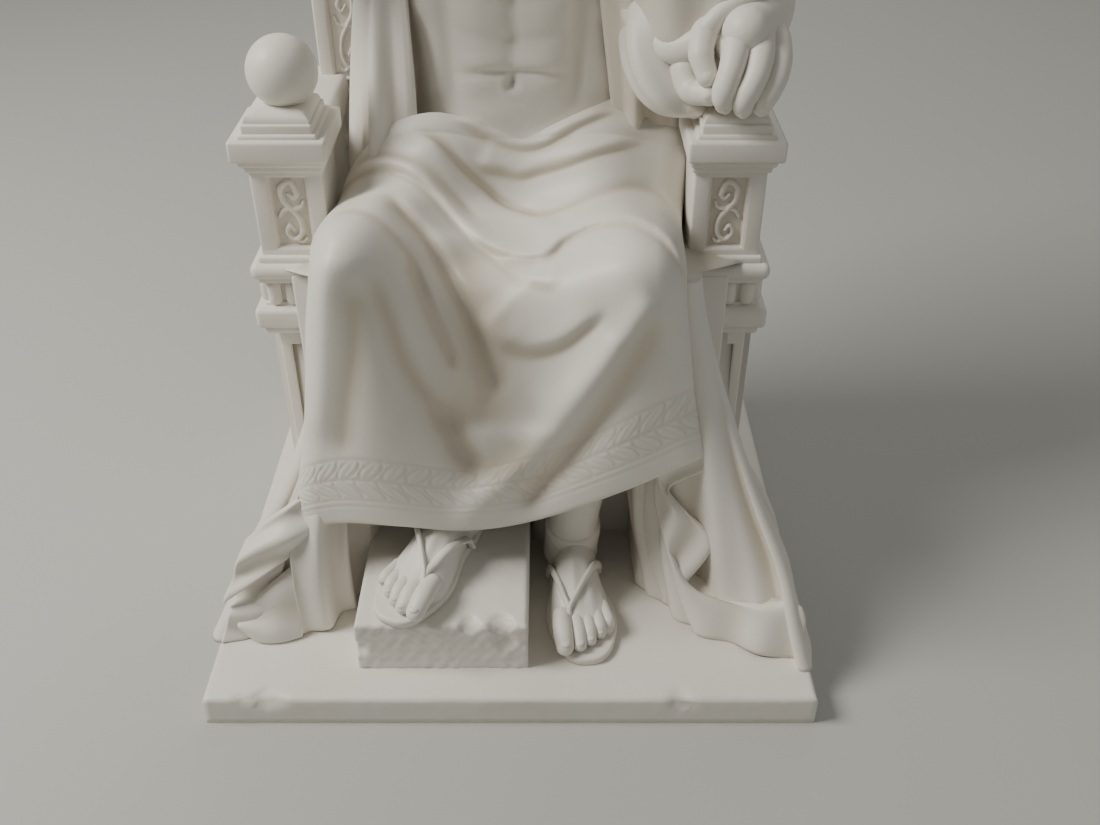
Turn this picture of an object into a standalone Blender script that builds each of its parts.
# Seated Zeus on a classical throne, one piece of cast resin marble.
# Metres, +Z up, origin at the middle of the plinth's flat underside, viewer at -Y.
# Lengths in the tables below are millimetres above the plinth's top face.

import math

import bmesh
import bpy
import numpy as np

# plinth and footstool
PLINTH_WIDTH = 174.0
PLINTH_DEPTH = 158.0
PLINTH_THICKNESS = 10.0
PLINTH_EDGE = 1.5
STOOL_LEFT = -44.0
STOOL_RIGHT = 5.0
STOOL_FRONT = -67.4
STOOL_HEIGHT = 17.5

# throne
THRONE_HALF = 69.5
POST_INNER = 50.5
POST_FRONT = -4.0
POST_BACK = 16.0
SEAT_HEIGHT = 96.0
SEAT_FRONT = -8.0
ARM_TOP = 135.0
BLOCK_TOP = 142.0
BALL_RADIUS = 9.5
BACK_FRONT = 56.0
BACK_REAR = 71.0
BACK_INNER = 41.0
BACK_OUTER = 60.0
BACK_HEIGHT = 246.0
CORNICE_HEIGHT = 258.0
PANEL_DEPTH = 1.6

# figure
FIGURE_HEIGHT = 278.0
HEM_THICKNESS = 3.0
VOXEL = 1.3
GAP_CLOSED = 1.1
FIGURE_TRIANGLES = 5900

HALF_ROOT = math.sqrt(0.5)


def softMin(a, b, k):
    return -np.logaddexp(-a / k, -b / k) * k


def ramp(x, a, b):
    s = np.clip((x - a) / (b - a), 0.0, 1.0)
    return s * s * (3.0 - 2.0 * s)


def smoothLine(points, count):
    """Curve through all the given points."""
    p = np.asarray(points, float)
    p = np.vstack([2 * p[0] - p[1], p, 2 * p[-1] - p[-2]])
    s = np.linspace(0, len(p) - 3 - 1e-9, count)
    i = s.astype(int)
    f = (s - i)[:, None]
    a, b, c, d = p[i], p[i + 1], p[i + 2], p[i + 3]
    return 0.5 * (2 * b + (c - a) * f + (2 * a - 5 * b + 4 * c - d) * f**2 + (3 * b - a - 3 * c + d) * f**3)


def newObject(name, points, faces):
    mesh = bpy.data.meshes.new(name)
    shifted = (np.asarray(points, float) + [0, 0, PLINTH_THICKNESS]) * 0.001
    mesh.from_pydata(shifted.tolist(), [], faces)
    mesh.validate()
    thing = bpy.data.objects.new(name, mesh)
    bpy.context.collection.objects.link(thing)
    build = bmesh.new()
    build.from_mesh(mesh)
    bmesh.ops.recalc_face_normals(build, faces=build.faces)
    build.to_mesh(mesh)
    build.free()
    return thing


def ringsToSolid(name, rings):
    """Closed skin over a pile of equal rings, both ends filled."""
    rings = np.asarray(rings, float)
    count, size = rings.shape[:2]
    faces = []
    for i in range(count - 1):
        for j in range(size):
            k = (j + 1) % size
            faces.append([i * size + j, i * size + k, (i + 1) * size + k, (i + 1) * size + j])
    faces.append(list(range(size))[::-1])
    faces.append([(count - 1) * size + j for j in range(size)])
    return newObject(name, rings.reshape(-1, 3), faces)


def tube(name, points, radii, size=14, count=24, flat=1.0):
    """Round limb along a curve, radius changing smoothly, ends domed."""
    path = smoothLine(points, count)
    along = np.linspace(0, 1, count)
    radius = np.interp(along, np.linspace(0, 1, len(radii)), radii)
    head = [path[0] - (path[1] - path[0]) / np.linalg.norm(path[1] - path[0]) * radius[0] * q for q in (0.85,
            0.5)]
    tail = [path[-1] + (path[-1] - path[-2]) / np.linalg.norm(path[-1] - path[-2]) * radius[-1] * q for q in
            (0.5, 0.85)]
    path = np.vstack([head, path, tail])
    radius = np.concatenate([radius[:1] * [0.45], radius[:1] * [0.85], radius, radius[-1:] * [0.85],
                             radius[-1:] * [0.45]])
    tangent = np.gradient(path, axis=0)
    tangent /= np.linalg.norm(tangent, axis=1)[:, None]
    spread = np.ptp(path, axis=0)
    guide = np.eye(3)[int(np.argmin(spread))]
    side = np.cross(tangent, guide)
    side /= np.linalg.norm(side, axis=1)[:, None]
    lift = np.cross(side, tangent)
    angle = np.linspace(0, 2 * np.pi, size, endpoint=False)
    rings = path[:, None] + radius[:, None, None] * (
        side[:, None] * np.cos(angle)[None, :, None] + flat * lift[:, None] * np.sin(angle)[None, :, None])
    return ringsToSolid(name, rings)


def stack(name, sections, size=32, count=40, power=2.3):
    """Rounded sections z, x, y, half width, half depth, joined smoothly."""
    table = smoothLine(sections, count)
    angle = np.linspace(0, 2 * np.pi, size, endpoint=False)
    c, s = np.cos(angle), np.sin(angle)
    c = np.sign(c) * np.abs(c) ** (2 / power)
    s = np.sign(s) * np.abs(s) ** (2 / power)
    rings = [np.stack([x + a * c, y + b * s, np.full(size, z)], -1) for z, x, y, a, b in table]
    return ringsToSolid(name, rings)


def blob(name, centre, radii):
    angle = np.linspace(0.15, np.pi - 0.15, 12)
    sections = [[centre[2] - radii[2] * math.cos(q), centre[0], centre[1], radii[0] * math.sin(q),
                 radii[1] * math.sin(q)]
                for q in angle]
    return stack(name, sections, size=20, count=24, power=2.0)


# drape over the knees: x across, t up the sloping lap, d out of it
def legLine(t, hip, knee, foot):
    return np.where(t > 58, knee + (hip - knee) * ramp(t, 58, 105), knee + (foot - knee) * ramp(-t, -58, 30))


def lapHeight(x, t):
    """Front wall and lap top, softly joined, swelling over both legs and up to the belly."""
    left = np.exp(-((x - legLine(t, -22, -39, -34)) / 17.0) ** 2)
    right = np.exp(-((x - legLine(t, 24, 33, 26)) / 16.0) ** 2)
    knee = ramp(t, 105, 60)
    top = 111 + (6 + 10 * knee) * left + (5 + 4 * knee) * right + 15 * ramp(t, 80, 104)
    top = top + 0.5 * np.maximum(t - 100, 0)
    low = ramp(-t, -55, 15)
    front = -37 - (10 - 7 * low) * left - (7 - 5 * low) * right - 7 * low
    return softMin(t - front / HALF_ROOT, top / HALF_ROOT - t, 7.0)


# folds of the lap drape: kind, height, width, line in x and t
FOLDS = [
    ("ridge", 3.2, 5.0, [(-41, 97), (-19, 102), (3, 96), (27, 105), (38, 112)]),
    ("groove", 2.6, 3.2, [(-20, 100), (-11, 91), (6, 91), (25, 93), (33, 97)]),
    ("step", 3.6, 11.0, [(44, 58), (34, 68), (14, 63), (3, 61), (-10, 68), (-24, 83), (-32, 88)]),
    ("groove", 1.8, 3.0, [(-8, 86), (6, 80), (11, 77), (30, 83), (45, 75)]),
    ("ridge", 1.6, 4.0, [(-51, 85), (-34, 93), (-26, 90)]),
    ("groove", 3.4, 4.2, [(-22, 70), (-13, 51), (-6, 35), (-1, 27)]),
    ("groove", 1.8, 3.4, [(-28, 74), (-18, 53), (-10, 31)]),
    ("groove", 3.0, 5.0, [(-32, 54), (-27, 34), (-19, 23), (-8, 13), (2, 14)]),
    ("groove", 2.8, 3.6, [(-11, 48), (2, 36), (18, 39), (28, 45)]),
    ("ridge", 1.6, 6.0, [(-9, 51), (6, 40), (24, 46)]),
    ("ridge", 3.6, 6.5, [(34, 46), (17, 24), (0, 6), (-9, -2)]),
    ("groove", 3.2, 5.0, [(39, 43), (26, 23), (10, 8), (4, 2)]),
    ("ridge", 1.6, 5.0, [(-48, 46), (-56, 13), (-61, -5)]),
]

# edges of the lap drape in x and t
LAP_LEFT = [(-42, 98), (-52, 75), (-50, 55), (-57, 20), (-65, -9)]
LAP_RIGHT = [(52, 110), (51, 89), (47, 52), (49, 39), (57, 12)]
LAP_TOP = [(-42, 98), (-22, 106), (4, 100), (23, 108), (43, 114), (52, 110)]
LAP_HEM = [(-65, -9), (-32, -8), (-12, -9), (8, -6), (31, 1), (57, 12)]


def foldHeight(x, t):
    total = np.zeros(x.shape)
    for kind, height, width, line in FOLDS:
        q = smoothLine(line, 40)
        near = np.full(x.shape, 1e9)
        side = np.zeros(x.shape)
        share = np.zeros(x.shape)
        for i in range(len(q) - 1):
            a, e = q[i], q[i + 1] - q[i]
            s = np.clip(((x - a[0]) * e[0] + (t - a[1]) * e[1]) / (e @ e), 0, 1)
            dx, dt = x - a[0] - s * e[0], t - a[1] - s * e[1]
            r = np.hypot(dx, dt)
            closer = r < near
            near = np.where(closer, r, near)
            side = np.where(closer, np.sign(e[0] * dt - e[1] * dx), side)
            share = np.where(closer, (i + s) / (len(q) - 1), share)
        fade = np.clip(np.sin(np.pi * np.clip(share, 0.02, 0.98)) * 2.2, 0, 1)
        if kind == "ridge":
            total += height * fade * np.exp(-(near / width) ** 2)
        elif kind == "groove":
            total -= height * fade * np.exp(-(near / width) ** 1.6)
        else:
            total += height * fade / (1 + np.exp(-side * near / 0.7)) * np.exp(-near / width)
    return total


def lapDrape():
    """Closed shell: thin at the hem, solid where it lies on the lap and the seat."""
    across, down = 110, 120
    u = np.linspace(0, 1, across)
    left, right = smoothLine(LAP_LEFT, down), smoothLine(LAP_RIGHT, down)
    top, hem = smoothLine(LAP_TOP, 200), smoothLine(LAP_HEM, 200)
    topT = np.interp(u, (top[:, 0] - top[0, 0]) / (top[-1, 0] - top[0, 0]), top[:, 1])
    hemT = np.interp(u, (hem[:, 0] - hem[0, 0]) / (hem[-1, 0] - hem[0, 0]), hem[:, 1])
    sl = (left[:, 1] - left[0, 1]) / (left[-1, 1] - left[0, 1])
    sr = (right[:, 1] - right[0, 1]) / (right[-1, 1] - right[0, 1])
    s = sl[:, None] * (1 - u) + sr[:, None] * u
    x = left[:, :1] * (1 - u) + right[:, :1] * u
    t = topT * (1 - s) + hemT * s
    d = lapHeight(x, t) + foldHeight(x, t)
    edge = np.minimum(x - left[:, :1], right[:, :1] - x)
    d = d - 9.0 * (1 - np.sqrt(1 - (1 - np.clip(edge / 9.0, 0, 1)) ** 2))
    outer = np.stack([x, HALF_ROOT * (t - d), HALF_ROOT * (t + d)], -1)
    rise = np.clip(t - hemT, 0, 200)
    thick = HEM_THICKNESS + 3.0 * ramp(rise, 6, 30) + 60.0 * ramp(rise, 36, 64)
    inner = outer + thick[..., None] * np.array([0.0, 1.0, 0.0])
    inner[..., 1] = np.where(rise > 30, np.minimum(inner[..., 1], 44.0), inner[..., 1])
    inner[..., 1] = np.maximum(inner[..., 1], outer[..., 1] + HEM_THICKNESS)
    sunk = ramp(rise, 34, 58)
    inner[..., 2] -= sunk * np.maximum(inner[..., 2] - 90.0, 0)
    n = across * down
    i = np.arange(n).reshape(down, across)
    quads = np.stack([i[:-1, :-1], i[1:, :-1], i[1:, 1:], i[:-1, 1:]], -1).reshape(-1, 4)
    rim = np.concatenate([i[0, :-1], i[:-1, -1], i[-1, :0:-1], i[:0:-1, 0]])
    nextRim = np.roll(rim, -1)
    wall = np.stack([rim, nextRim, nextRim + n, rim + n], -1)
    faces = quads.tolist() + (quads[:, ::-1] + n).tolist() + wall.tolist()
    return newObject("lap_drape", np.vstack([outer.reshape(-1, 3), inner.reshape(-1, 3)]), faces)


def clothFall(name, top, bottom, bulge):
    """Solid cloth fall: gathered line at the knee opening to a zigzag on the plinth, backed by the throne."""
    top, bottom = smoothLine(top, 56), smoothLine(bottom, 56)
    side = np.sign(bottom[-1, 0])
    rings = []
    for h in np.linspace(0, 1, 18):
        mix = h ** bulge
        ring = top * (1 - mix) + bottom * mix
        ring[:, 2] = top[:, 2] * (1 - h) + bottom[:, 2] * h
        floor = np.linspace(ring[-1, 2], ring[0, 2], 7)
        back = np.array([(side * 66, 2), (side * 60, 2), (side * 54, 1), (side * 50, 0), (side * 46, -1),
                         (side * 44, -6),
                         (side * 43, -14)], float)
        back = np.column_stack([back, floor])
        rings.append(np.vstack([ring, back]))
    return ringsToSolid(name, rings)


def foot(name, toe, heel, width, lift):
    """Sandalled foot: sole slab, wedge of the instep and five toes."""
    toe, heel = np.array(toe), np.array(heel)
    forward = (toe - heel) / np.linalg.norm(toe - heel)
    across = np.array([-forward[1], forward[0], 0.0])
    length = np.linalg.norm(toe - heel)
    turn = np.linspace(0, 2 * np.pi, 28, endpoint=False)
    half = 0.5 * width * (1 - 0.16 * np.cos(turn))[:, None]
    rim = heel + forward * (length * (0.5 - 0.5 * np.cos(turn)))[:, None] + across * np.sin(turn)[:,
            None] * half
    made = [ringsToSolid(name + "_sole", [rim + [0, 0, z + lift] for z in (-1.0, 3.0)])]
    shape = [(0.06, 0.34, 9), (0.25, 0.36, 13), (0.42, 0.36, 15), (0.6, 0.4, 12), (0.78, 0.42, 8.0),
             (0.9, 0.36, 6)]
    rings = []
    for share, wide, tall in shape:
        centre = heel + forward * length * share + [0, 0, lift + 2.0]
        q = np.linspace(0, 2 * np.pi, 16, endpoint=False)
        rings.append(centre + across * (width * wide * np.cos(q))[:,
                None] + np.array([0, 0, 1.0]) * (tall * np.maximum(np.sin(q), -0.1))[:, None])
    made.append(ringsToSolid(name + "_instep", rings))
    sign = -1.0 if toe[0] < 0 else 1.0
    for k in range(5):
        offset = across * width * (0.30 - 0.16 * k) * -sign
        reach = 0.97 - 0.03 * k
        root = heel + forward * length * 0.72 + offset + [0, 0, lift + 5.5]
        tip = heel + forward * length * reach + offset + [0, 0, lift + 4.6 - 0.2 * k]
        made.append(tube(name + "_toe", [root, (root + tip) / 2 + [0, 0, 0.9], tip],
                         [2.4, 3.0 - 0.35 * k, 2.5 - 0.25 * k], 8, 6))
    return made


def figure():
    made = [lapDrape()]
    made.append(clothFall("right_fall",
                          [(46, -36, 96), (50, -36, 94), (52, -28, 96), (53, -14, 98), (56, -4, 98)],
                          [(46, -30, 52), (58, -40, 54), (46, -37, 40), (59, -43, 27), (50, -46, 10),
                           (54.5, -55, -1),
                           (66, -58, -1), (80, -66, -1), (81, -58, 4), (85.5, -65, -1), (86, -38, -1), (80,
                                   -2, -1)], 1.25))
    made.append(clothFall("left_fall",
                          [(-47, -36, 96), (-52, -36, 94), (-54, -26, 96), (-56, -12, 98), (-56, -4, 98)],
                          [(-44, -34, 10), (-51, -47, -1), (-61, -56, -1), (-62, -46, 1), (-70, -49, -1),
                           (-79, -54, -1),
                           (-75, -45, 7), (-85.5, -58, -1), (-85, -32, -1), (-78, -2, -1)], 1.25))
    made.append(stack("legs_mass", [(30, -2, 0, 44, 8), (60, -2, -2, 47, 20), (92, -2, 2, 50, 28),
                                    (104, -2, 8, 46, 26)]))
    made.append(tube("left_shin", [(-14, -24, 32), (-22, -26, 56), (-34, -28, 90)], [7.5, 11, 14]))
    made.append(tube("right_shin", [(19.5, -20, 10), (22, -24, 32), (28, -27, 60), (32, -26, 90)],
                     [7.0, 8.5, 11, 14]))
    made += foot("right_foot", (24, -63, 0), (17, -11, 0), 20, 0.5)
    made += foot("left_foot", (-37, -65, 0), (-13, -17, 0), 22, STOOL_HEIGHT)
    made.append(tube("under_fold", [(12, -6, 4), (11, -10, 30), (8, -14, 60)], [9, 8, 10]))
    made.append(stack("torso", [
        (86, 2, 32, 38, 26), (108, 2, 36, 36, 22), (125, 2.5, 37, 32, 20), (142, 3, 37, 30, 19), (165, 2, 38,
                33, 21),
        (190, 1, 39, 40, 25), (205, 0, 39, 43, 25), (214, 0, 38, 39, 20), (221, 0, 37, 26, 15), (230, 1, 36,
                13.5, 13),
        (246, 1, 34, 12, 12)]))
    for side in (-1, 1):
        made.append(blob("chest", (side * 18 + 1, 23, 197), (19, 12, 14)))
    tall = FIGURE_HEIGHT
    made.append(blob("skull", (1, 33, 0.924 * tall), (17.0, 20, 0.075 * tall)))
    made.append(stack("face", [(0.862 * tall, 1, 21, 8, 8), (0.885 * tall, 1, 21, 11.5, 10),
                               (0.91 * tall, 1, 22, 12.8, 10.5),
                               (0.94 * tall, 1, 23, 13, 11), (0.965 * tall, 1, 25, 11, 9)], 20, 20, 2.0))
    made.append(stack("nose", [(0.893 * tall, 1, 12, 2.8, 3.4), (0.9 * tall, 1, 11.2, 2.4, 3.4),
                               (0.922 * tall, 1, 13, 1.6, 2.6)], 10, 8, 2.0))
    made.append(stack("beard", [(0.81 * tall, 1, 14, 5, 5), (0.835 * tall, 1, 16, 10.5, 8),
                                (0.86 * tall, 1, 19, 14, 10.5),
                                (0.885 * tall, 1, 23, 14.8, 9)], 20, 20, 2.0))
    for side in (-1, 1):
        made.append(stack("side_hair", [(0.835 * tall, 1 + side * 15, 36, 6, 9),
                                        (0.87 * tall, 1 + side * 17, 33, 7.5, 11),
                                        (0.91 * tall, 1 + side * 16.5, 31, 7.5, 12), (0.95 * tall,
                                                1 + side * 12, 31, 7, 12)], 18, 20, 2.0))
    made.append(stack("back_hair", [(0.80 * tall, 1, 44, 15, 9), (0.86 * tall, 1, 45, 19, 11),
                                    (0.92 * tall, 1, 43, 18, 12)], 24, 20, 2.0))
    made.append(stack("brow_hair", [(0.955 * tall, 1, 26, 15.5, 13), (0.973 * tall, 1, 28, 15, 14),
                                    (0.99 * tall, 1, 32, 9, 10)], 24, 16, 2.0))
    made.append(tube("left_arm", [(44, 38, 208), (58, 33, 192), (67, 28, 170), (65, 12, 161), (61, 0, 161)],
                     [15, 13, 10.5, 9, 7]))
    fingers = [[(58, 4, 163), (54.6, -6, 156.6), (53.8, -8.5, 149)],
               [(62, 4, 163), (61, -6.5, 158), (58, -9, 148)],
               [(66, 4, 162), (67, -5, 158), (63, -9, 147.5)], [(69, 4, 159),
                                                                (68.5, -6, 148)], [(51, 4, 158),
                                                                        (48.5, 0, 149), (53, -6, 146)]]
    for line in fingers:
        made.append(tube("left_finger", line, [4.2, 3.6, 2.8], 10, 10))
    made.append(tube("right_arm", [(-42, 38, 208), (-58, 32, 202), (-72, 22, 192), (-74, 12, 212),
                                   (-72, 6, 232)], [15, 13, 10.5, 9, 6.5]))
    made.append(blob("right_hand", (-71, 3, 240), (8.5, 9, 9)))
    bolt = [(-71, 3, 212), (-71, 3, 226), (-71, 3, 240), (-71, 3, 254), (-71, 3, 270)]
    made.append(tube("thunderbolt", bolt, [2.0, 6.5, 3.5, 6.5, 2.0], 12, 24))
    made.append(stack("cloak_back", [(98, 0, 48, 46, 12), (130, -4, 50, 42, 9), (165, 0, 52, 40, 9),
                                     (200, 6, 52, 40, 10), (218, 12, 48, 30, 9)]))
    made.append(tube("cloak_shoulder", [(22, 24, 219), (42, 26, 214), (56, 32, 196), (63, 34, 172),
                                        (58, 30, 146), (50, 26, 124)],
                     [8, 14, 14.5, 13, 12, 9], 16, 24))
    made.append(tube("cloak_sleeve", [(52, 14, 176), (50, 14, 152), (46, 16, 128), (44, 14, 112)],
                     [7, 9, 9, 8]))
    made.append(tube("cloak_right", [(-34, 46, 200), (-36, 44, 165), (-38, 42, 138), (-44, 34, 116),
                                     (-50, 14, 108)], [10, 10, 10, 10, 8]))
    return made


def box(name, x0, x1, y0, y1, z0, z1, bevel=0.0, steps=1):
    """Box between limits, all edges eased by the bevel."""
    corners = [(x, y, z) for x in (x0, x1) for y in (y0, y1) for z in (z0, z1)]
    faces = [(0, 1, 3, 2), (4, 6, 7, 5), (0, 4, 5, 1), (2, 3, 7, 6), (0, 2, 6, 4), (1, 5, 7, 3)]
    thing = newObject(name, corners, faces)
    if bevel:
        build = bmesh.new()
        build.from_mesh(thing.data)
        bmesh.ops.bevel(build, geom=list(build.edges), offset=bevel * 0.001, segments=steps, affect="EDGES",
                        profile=0.5)
        build.to_mesh(thing.data)
        build.free()
    return thing


def taper(name, x0, x1, y0, y1, z0, z1, inset):
    """Block whose top is smaller all round by the inset."""
    low = [(x0, y0, z0), (x1, y0, z0), (x1, y1, z0), (x0, y1, z0)]
    high = [(x0 + inset, y0 + inset, z1), (x1 - inset, y0 + inset, z1), (x1 - inset, y1 - inset, z1),
            (x0 + inset, y1 - inset, z1)]
    return ringsToSolid(name, [low, high])


def scroll(name, centreX, faceY, low, high, mirror):
    """Raised S scroll with a curl at each end, standing on a panel."""
    middle, tall = (low + high) / 2, high - low
    wide = 9.5 * mirror
    shape = [(-0.20, 0.24), (-0.05, 0.40), (0.20, 0.33), (0.20, 0.17), (0.02, 0.04), (-0.18, -0.10),
             (-0.20, -0.28),
             (0.0, -0.39), (0.19, -0.29), (0.08, -0.20)]
    line = [(centreX + wide * 1.25 * u, faceY, middle + tall * v) for u, v in shape]
    return tube(name, line, [0.9, 1.2, 1.3, 1.2, 0.9], 5, 17)


def post(side):
    """Front post with leg, frieze, panelled shaft, capital and stepped top."""
    made = []

    def put(name, inner, outer, y0, y1, z0, z1, bevel=0.8, steps=1):
        x0, x1 = sorted((side * inner, side * outer))
        made.append(box(name, x0, x1, y0, y1, z0, z1, bevel, steps))

    put("leg", 54, THRONE_HALF, POST_FRONT + 1, POST_BACK, -4, 80)
    put("leg_slab", 47, 74.3, POST_FRONT - 3.5, POST_BACK + 3, 77, 84.5, 1.2)
    put("frieze", 50, 71, POST_FRONT - 0.5, POST_BACK, 83, 94, 0.5)
    put("shaft_base", 47, 73.7, POST_FRONT - 3.5, POST_BACK + 3, 93, 99, 2.4, 2)
    put("shaft", POST_INNER, THRONE_HALF + 0.5, POST_FRONT, POST_BACK, 97, 128, 0.8)
    put("fillet", 49, 71.5, POST_FRONT - 1.5, POST_BACK + 1, 125.5, 130.5, 0.8)
    put("capital", 48, 73.7, POST_FRONT - 3.5, POST_BACK + 3, 129.5, ARM_TOP, 0.8)
    x0, x1 = sorted((side * 51.5, side * 69.5))
    made.append(box("block", x0, x1, POST_FRONT - 1, POST_BACK - 1, ARM_TOP - 1, 138.5, 0.4))
    made.append(taper("block_top", x0 + 0.4, x1 - 0.4, POST_FRONT - 0.6, POST_BACK - 1.4, 138, BLOCK_TOP,
                      3.0))
    for k in range(4):
        x = side * (53.2 + 5.0 * k)
        made.append(tube("flute", [(x, POST_FRONT - 0.4, 85), (x, POST_FRONT - 0.4, 88),
                                   (x, POST_FRONT - 0.4, 91)], [1.9, 1.9, 1.9], 8, 4))
    return made


def scrolls(side):
    """Scroll carving of the front shaft and of the back pilaster."""
    made = [scroll("scroll", side * 60, POST_FRONT + PANEL_DEPTH, 103, 123, side)]
    for low in (131, 194):
        made.append(scroll("scroll", side * 50.5, BACK_FRONT + PANEL_DEPTH, low, low + 30, -side))
    return made


def cutters(side):
    """Recessed panels: shaft front, leg inside face, throne side and back pilaster."""
    made = []

    def put(inner, outer, y0, y1, z0, z1):
        x0, x1 = sorted((side * inner, side * outer))
        made.append(box("panel_cut", x0, x1, y0, y1, z0, z1))

    put(55, 65, POST_FRONT - 6, POST_FRONT + PANEL_DEPTH, 101.5, 124)
    put(58, 66, POST_FRONT - 6, POST_FRONT + 1 + PANEL_DEPTH, 8, 74)
    put(65, 80, 24, 50, 12, 74)
    put(65, 80, 24, 50, 88, 122)
    put(45.5, 55.5, BACK_FRONT - 8, BACK_FRONT + PANEL_DEPTH, 127, 236)
    return made


def throne():
    made = [box("seat_body", -62, 62, SEAT_FRONT, BACK_REAR - 2, -4, SEAT_HEIGHT, 0.8)]
    made.append(box("seat_slab", -64, 64, 10, BACK_REAR - 1, 88, SEAT_HEIGHT + 2, 1.0))
    for side in (-1, 1):
        made += post(side)
        x0, x1 = sorted((side * 54, side * 67))
        made.append(box("side_wall", x0, x1, 10, BACK_REAR - 3, -4, 126, 0.6))
        x0, x1 = sorted((side * 52, side * 69))
        made.append(box("arm_rail", x0, x1, 12, BACK_REAR - 5, 122, 131.5, 1.6, 2))
        x0, x1 = sorted((side * 54, side * THRONE_HALF))
        made.append(box("rear_leg", x0, x1, 54, BACK_REAR, -4, 112, 0.8))
        x0, x1 = sorted((side * BACK_INNER, side * BACK_OUTER))
        made.append(box("pilaster", x0, x1, BACK_FRONT, BACK_REAR, 90, BACK_HEIGHT, 0.8))
    made.append(box("back_panel", -43, 43, BACK_FRONT + 4, BACK_REAR - 2, 90, BACK_HEIGHT, 0.0))
    made.append(box("cornice_low", -62, 62, BACK_FRONT - 2, BACK_REAR + 0.5, BACK_HEIGHT - 4,
                    BACK_HEIGHT + 2, 0.8))
    made.append(box("cornice", -65, 65, BACK_FRONT - 4.5, BACK_REAR + 2, BACK_HEIGHT + 1.5, CORNICE_HEIGHT,
                    1.4, 2))
    made.append(taper("crest", -46, 46, BACK_FRONT - 1, BACK_REAR - 1, CORNICE_HEIGHT - 1,
                      CORNICE_HEIGHT + 7, 5.0))
    made.append(box("stool", STOOL_LEFT, STOOL_RIGHT, STOOL_FRONT, -4, -4, STOOL_HEIGHT, 1.2))
    made.append(ball("post_ball", (-60, 6, BLOCK_TOP + 8.3), BALL_RADIUS))
    made.append(ball("hand_ball", (60, 4, BLOCK_TOP + 8.3), BALL_RADIUS))
    half, deep = PLINTH_WIDTH / 2, PLINTH_DEPTH / 2
    e = PLINTH_EDGE
    rings = []
    for inset, z in ((0.0, -PLINTH_THICKNESS), (0.0, -e), (0.3 * e, -0.3 * e), (e, 0.0)):
        rings.append([(-half + inset, -deep + inset, z), (half - inset, -deep + inset, z),
                      (half - inset, deep - inset, z), (-half + inset, deep - inset, z)])
    made.append(ringsToSolid("plinth", rings))
    return made


def ball(name, centre, radius):
    build = bmesh.new()
    bmesh.ops.create_icosphere(build, subdivisions=3, radius=radius)
    points = [tuple(v.co) for v in build.verts]
    faces = [[v.index for v in f.verts] for f in build.faces]
    build.free()
    return newObject(name, np.array(points) + centre, faces)


def chips():
    """Broken corners of the stool's and the plinth's front edges, as in the casting."""
    spots = [((-15, STOOL_FRONT - 1.0, STOOL_HEIGHT + 1.6), 4.6),
             ((-3, STOOL_FRONT - 0.6, STOOL_HEIGHT + 1.4), 4.0),
             ((STOOL_LEFT - 1.4, STOOL_FRONT - 1.0, 4.0), 3.2), ((-70, -PLINTH_DEPTH / 2 - 1.4, -1.0), 3.4),
             ((48, -PLINTH_DEPTH / 2 - 1.8, 0.8), 4.0)]
    made = []
    for centre, radius in spots:
        build = bmesh.new()
        bmesh.ops.create_icosphere(build, subdivisions=1, radius=radius)
        points = [tuple(v.co) for v in build.verts]
        faces = [[v.index for v in f.verts] for f in build.faces]
        build.free()
        made.append(newObject("chip", np.array(points) * [1.5, 0.8, 0.8] + centre, faces))
    return made


def join(things, name):
    """All things in one mesh object."""
    build = bmesh.new()
    for thing in things:
        build.from_mesh(thing.data)
        bpy.data.objects.remove(thing, do_unlink=True)
    mesh = bpy.data.meshes.new(name)
    build.to_mesh(mesh)
    build.free()
    joined = bpy.data.objects.new(name, mesh)
    bpy.context.collection.objects.link(joined)
    return joined


def settle(thing):
    """Evaluated mesh replaces the modifiers."""
    graph = bpy.context.evaluated_depsgraph_get()
    mesh = bpy.data.meshes.new_from_object(thing.evaluated_get(graph))
    thing.modifiers.clear()
    thing.data = mesh


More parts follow.
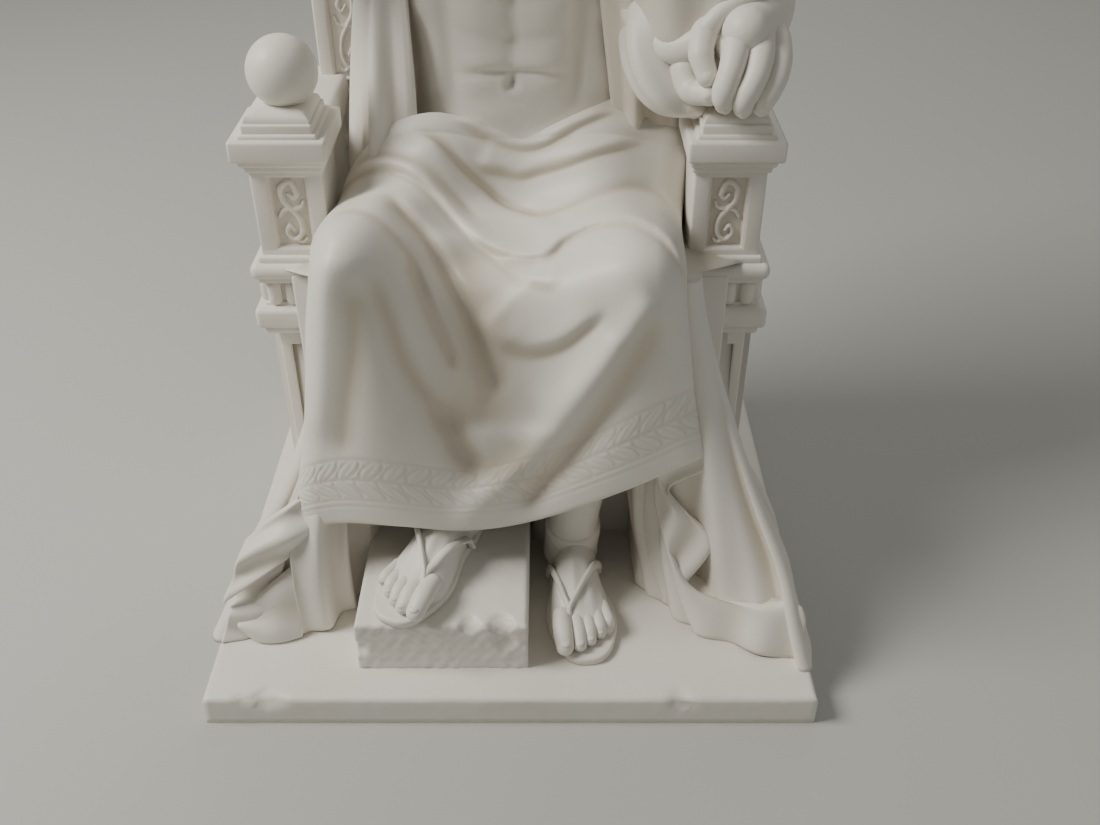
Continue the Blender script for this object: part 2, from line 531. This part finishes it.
def combine(thing, other, operation):
    step = thing.modifiers.new(operation.lower(), "BOOLEAN")
    step.operation = operation
    step.solver = "EXACT"
    step.object = other
    step.use_self = True
    settle(thing)
    bpy.data.objects.remove(other, do_unlink=True)


def dropCrumbs(thing):
    """Keeps only the largest connected shell."""
    build = bmesh.new()
    build.from_mesh(thing.data)
    build.verts.ensure_lookup_table()
    seen = set()
    shells = []
    for start in build.verts:
        if start in seen:
            continue
        seen.add(start)
        shell = [start]
        for vert in shell:
            for edge in vert.link_edges:
                other = edge.other_vert(vert)
                if other not in seen:
                    seen.add(other)
                    shell.append(other)
        shells.append(shell)
    shells.sort(key=len)
    for shell in shells[:-1]:
        bmesh.ops.delete(build, geom=shell, context="VERTS")
    build.to_mesh(thing.data)
    build.free()


for thing in list(bpy.data.objects):
    bpy.data.objects.remove(thing, do_unlink=True)

body = join(figure(), "figure")
for shift in (GAP_CLOSED, -GAP_CLOSED, 0.0):
    skin = body.modifiers.new("skin", "REMESH")
    skin.mode = "VOXEL"
    skin.voxel_size = VOXEL * 0.001
    swell = body.modifiers.new("swell", "DISPLACE")
    swell.mid_level = 0.0
    swell.strength = shift * 0.001
    settle(body)
ease = body.modifiers.new("ease", "SMOOTH")
ease.factor = 0.5
ease.iterations = 2
settle(body)
print("figure skin", len(body.data.polygons))
thin = body.modifiers.new("thin", "DECIMATE")
thin.ratio = min(1.0, FIGURE_TRIANGLES / (2.0 * len(body.data.polygons)))
thin.use_collapse_triangulate = True
settle(body)
print("figure triangles", len(body.data.polygons))

seat = join(throne(), "throne")
combine(seat, join(cutters(-1) + cutters(1) + chips(), "cuts"), "DIFFERENCE")
combine(seat, join([body] + scrolls(-1) + scrolls(1), "raised"), "UNION")
seat.name = "zeus_statue"
seat.data.name = "zeus_statue"

dropCrumbs(seat)

marble = bpy.data.materials.new("cast_marble")
marble.use_nodes = True
shader = marble.node_tree.nodes["Principled BSDF"]
shader.inputs["Base Color"].default_value = (0.80, 0.79, 0.76, 1.0)
shader.inputs["Roughness"].default_value = 0.5
seat.data.materials.clear()
seat.data.materials.append(marble)
